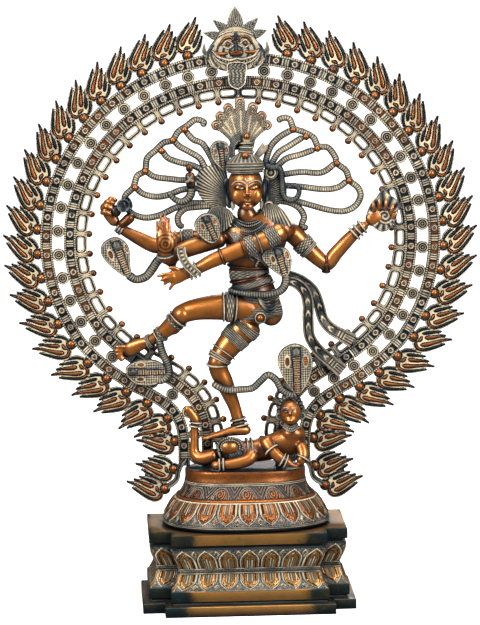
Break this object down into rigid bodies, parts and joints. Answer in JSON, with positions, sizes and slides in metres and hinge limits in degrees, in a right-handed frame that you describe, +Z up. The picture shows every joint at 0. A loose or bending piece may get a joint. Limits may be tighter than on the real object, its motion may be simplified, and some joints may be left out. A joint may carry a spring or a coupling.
{
  "type": "brass nataraja statue",
  "caption": "Dancing four-armed figure in a ring of flames, standing on a small prone figure, an oval lotus plinth and a stepped pedestal.",
  "frame": {"origin": "centre of the pedestal's underside", "axes": "+Z up, the front of the figure faces -Y, +X is to the right seen from the front"},
  "size_m": [0.5926, 0.218, 0.746],
  "materials": {
    "figure_brass": "cast brass, copper-brown polish on the raised skin, blue-black patina in shade, pale dust in the grooves",
    "ring_brass": "cast brass with dark patina, pale rubbed edges and copper ground",
    "base_brass": "cast brass, grey-brown top faces, pale lines between the petals",
    "bolt_steel": "dull steel"
  },
  "bodies": {
    "root": {"pedestal": "base_brass", "lotus_plinth": "base_brass", "plinth_bolt_1": "bolt_steel", "plinth_bolt_2": "bolt_steel", "plinth_bolt_3": "bolt_steel", "plinth_bolt_4": "bolt_steel", "kirtimukha_mask": "ring_brass", "ring_crown": "ring_brass", "ring_upper_left": "ring_brass", "ring_lower_left": "ring_brass", "ring_foot_left": "ring_brass", "ring_upper_right": "ring_brass", "ring_lower_right": "ring_brass", "ring_foot_right": "ring_brass", "torso": "figure_brass", "head": "figure_brass", "diadem": "figure_brass", "raised_leg": "figure_brass", "standing_leg": "figure_brass", "crossing_arm": "figure_brass", "blessing_arm": "figure_brass", "drum_arm": "figure_brass", "drum": "figure_brass", "flame_arm": "figure_brass", "armlet_drum_arm": "figure_brass", "armlet_flame_arm": "figure_brass", "bracelet_flame_arm": "figure_brass", "bracelet_crossing_arm": "figure_brass", "anklet_standing_leg": "figure_brass", "knee_band_standing_leg": "figure_brass", "knee_band_raised_leg": "figure_brass", "hand_flame": "figure_brass", "feather_crown": "figure_brass", "crown_cobra": "figure_brass", "crescent_moon": "figure_brass", "hair_left": "figure_brass", "head_snake": "figure_brass", "hair_right": "figure_brass", "river_figure": "figure_brass", "shoulder_cobra": "figure_brass", "arm_cobra": "figure_brass", "waist_cobra": "figure_brass", "sash_upper": "figure_brass", "sash_lower": "figure_brass", "leg_cobra": "figure_brass", "shin_cobra": "figure_brass", "scarf_end": "figure_brass", "dwarf_head": "figure_brass", "dwarf_body": "figure_brass", "dwarf_near_arm": "figure_brass", "dwarf_far_arm": "figure_brass", "dwarf_bent_leg": "figure_brass", "dwarf_raised_leg": "figure_brass"}
  },
  "joints": []
}
